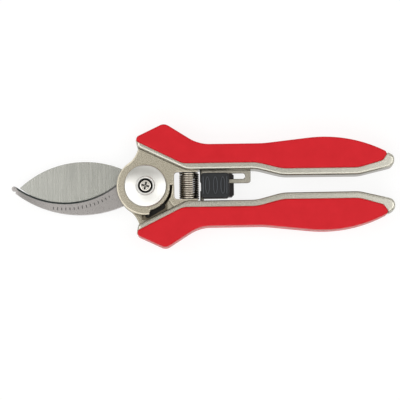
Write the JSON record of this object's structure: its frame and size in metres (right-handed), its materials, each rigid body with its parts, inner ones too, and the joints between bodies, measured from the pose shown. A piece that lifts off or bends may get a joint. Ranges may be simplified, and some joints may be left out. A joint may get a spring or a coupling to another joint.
{
  "type": "pruning shears",
  "caption": "Compact bypass pruning shears with red grips on plated metal handles, a sprung pivot, a curved blade over a hooked jaw, and a sliding thumb catch.",
  "frame": {"origin": "on the pivot's axis, in the plane of the grips' backs, which the shears rest on when they lie down", "axes": "+Z along the pivot's axis, from the back to the front that shows the cover disc; +X from the pivot to the handles' tails; +Y to the upper handle"},
  "size_m": [0.1748, 0.056, 0.0154],
  "materials": {
    "frame_metal": "satin champagne-tinted nickel plate on cast metal, slightly warm",
    "grip_red": "matte red moulded plastic with a fine grain",
    "blade_steel": "stainless steel, ground across the blade",
    "hook_steel": "stainless steel, fine satin",
    "pin_steel": "plain turned steel",
    "nut_plated": "nickel-plated steel",
    "washer_plastic": "black low-friction plastic",
    "cover_satin": "turned satin steel with fine circular lines",
    "screw_plated": "nickel-plated steel",
    "buffer_rubber": "black rubber, ribbed",
    "spring_wire": "bright nickel-plated spring wire",
    "sheet_plated": "nickel-plated pressed sheet",
    "catch_black": "black moulded plastic, fine satin"
  },
  "bodies": {
    "lower_handle": {"lower_handle_frame": "frame_metal", "lower_front_grip": "grip_red", "lower_back_grip": "grip_red", "cutting_blade": "blade_steel", "blade_dowels": "pin_steel", "pivot_bolt": "pin_steel", "rear_washer": "pin_steel", "pivot_nut": "nut_plated", "friction_washer": "washer_plastic", "pivot_cover": "cover_satin", "pivot_screw": "screw_plated", "stop_buffer": "buffer_rubber", "return_spring": "spring_wire", "lower_spring_peg": "pin_steel", "strike_hook": "sheet_plated", "strike_pin": "pin_steel"},
    "upper_handle": {"upper_handle_frame": "frame_metal", "upper_front_grip": "grip_red", "upper_back_grip": "grip_red", "hook_blade": "hook_steel", "hook_dowels": "pin_steel", "upper_spring_peg": "pin_steel", "latch_plate": "sheet_plated", "latch_pins": "pin_steel"},
    "catch": {"catch_front_button": "catch_black", "catch_back_button": "catch_black", "catch_rivet": "pin_steel"}
  },
  "joints": [
    {"name": "handle_pivot", "type": "hinge", "parent": "lower_handle", "child": "upper_handle", "pos_m": [0, 0, 0.0086], "axis": [0, 0, 1], "range_deg": [0, 40], "stiffness_Nm_per_rad": 0.3, "springref_deg": 51.57, "deforming": ["return_spring"]},
    {"name": "catch_slide", "type": "slide", "parent": "upper_handle", "child": "catch", "axis": [1, 0, 0], "range_m": [-0.0015, 0.005]}
  ]
}
